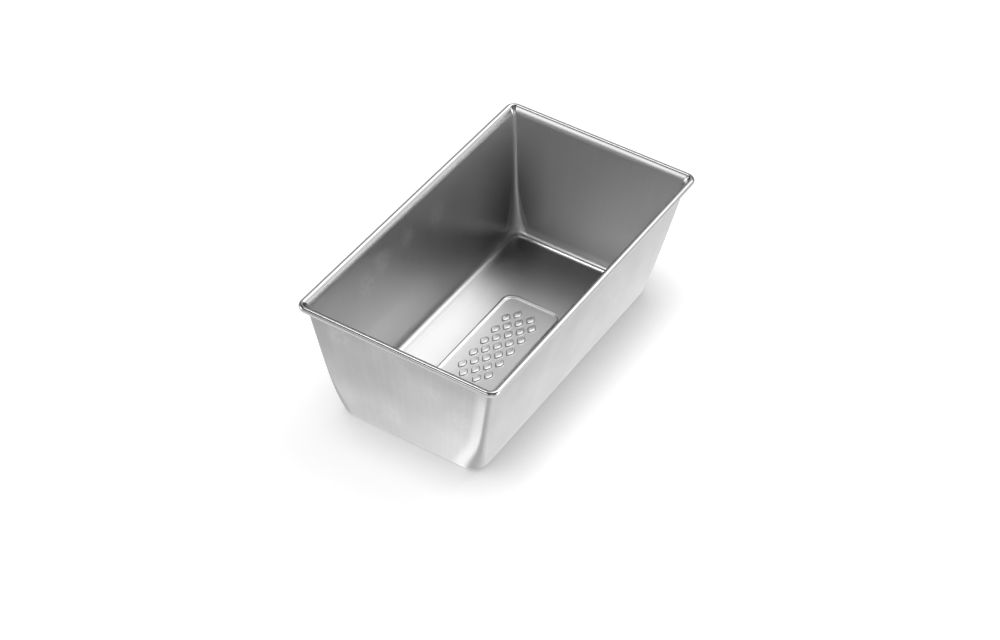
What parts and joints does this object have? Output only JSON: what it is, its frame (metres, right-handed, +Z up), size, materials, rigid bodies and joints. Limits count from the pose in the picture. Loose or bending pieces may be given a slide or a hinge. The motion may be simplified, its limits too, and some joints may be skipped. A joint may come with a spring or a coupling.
{
  "type": "mini loaf pan",
  "caption": "Small rectangular baking pan drawn from sheet steel, with sloping walls, rounded corners and a wired rim, for baking a small loaf.",
  "frame": {"origin": "middle of the flat underside, at the level the pan rests on", "axes": "+X along the pan's length, +Y across its width, +Z up out of the open top"},
  "size_m": [0.146, 0.0834, 0.0542],
  "materials": {
    "sheet_steel": "satin aluminised",
    "wire_steel": "drawn wire"
  },
  "bodies": {
    "root": {"pan_shell": "sheet_steel", "rim_wire": "wire_steel"}
  },
  "joints": []
}
